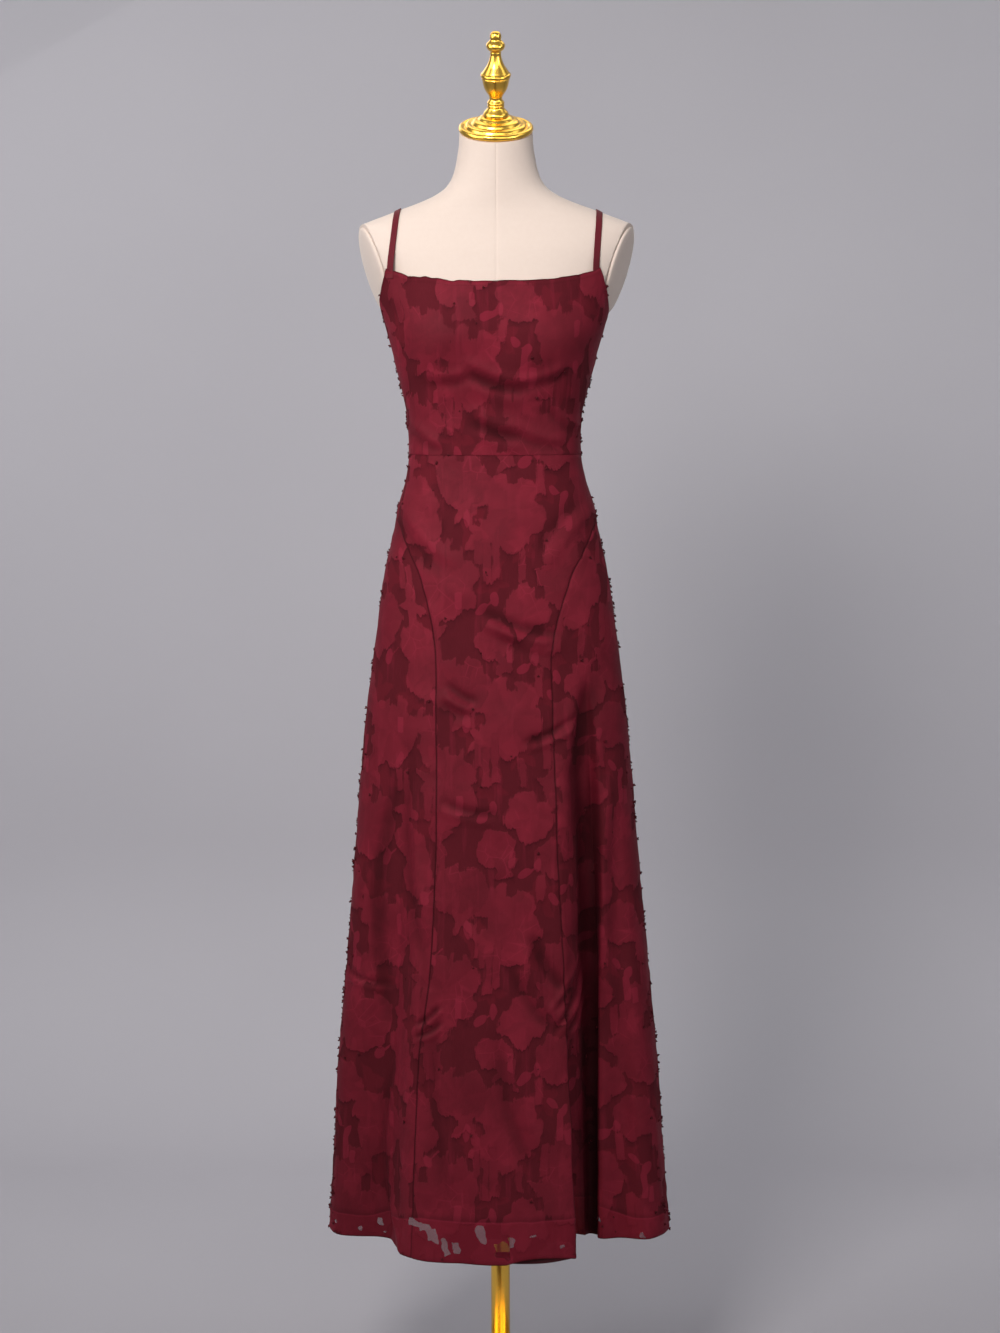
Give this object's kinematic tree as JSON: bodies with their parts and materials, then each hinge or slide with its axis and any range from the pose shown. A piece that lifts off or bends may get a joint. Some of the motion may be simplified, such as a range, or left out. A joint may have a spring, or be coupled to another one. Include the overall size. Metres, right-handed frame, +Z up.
{
  "type": "floral maxi dress on a limbless dress form with a stand",
  "caption": "Burgundy maxi dress with narrow straps, flared panelled skirt and a front slit, on a cream dress form with a gold stand.",
  "frame": {"origin": "middle of the underside of the stand's round base, on the surface it stands on", "axes": "+Z up along the pole, the front of the dress faces -Y, +X to the viewer's right"},
  "size_m": [0.472, 0.33, 1.862],
  "materials": {
    "dress_cloth": "burgundy burnout chiffon with satin flowers",
    "lining_cloth": "dark burgundy smooth lining",
    "form_cloth": "cream stretch cloth",
    "gold_metal": "polished gold"
  },
  "bodies": {
    "root": {"bodice_front": "dress_cloth", "bodice_back_left": "dress_cloth", "bodice_back_right": "dress_cloth", "skirt_front_centre": "dress_cloth", "skirt_front_left": "dress_cloth", "skirt_front_right": "dress_cloth", "skirt_back_left": "dress_cloth", "skirt_back_right": "dress_cloth", "strap_left": "dress_cloth", "strap_right": "dress_cloth", "lining_front_centre": "lining_cloth", "lining_front_left": "lining_cloth", "lining_front_right": "lining_cloth", "lining_back": "lining_cloth", "torso": "form_cloth", "arm_plate_left": "form_cloth", "arm_plate_right": "form_cloth", "neck_cap": "gold_metal", "finial": "gold_metal", "pole_flange": "gold_metal", "pole": "gold_metal", "base": "gold_metal"}
  },
  "joints": []
}
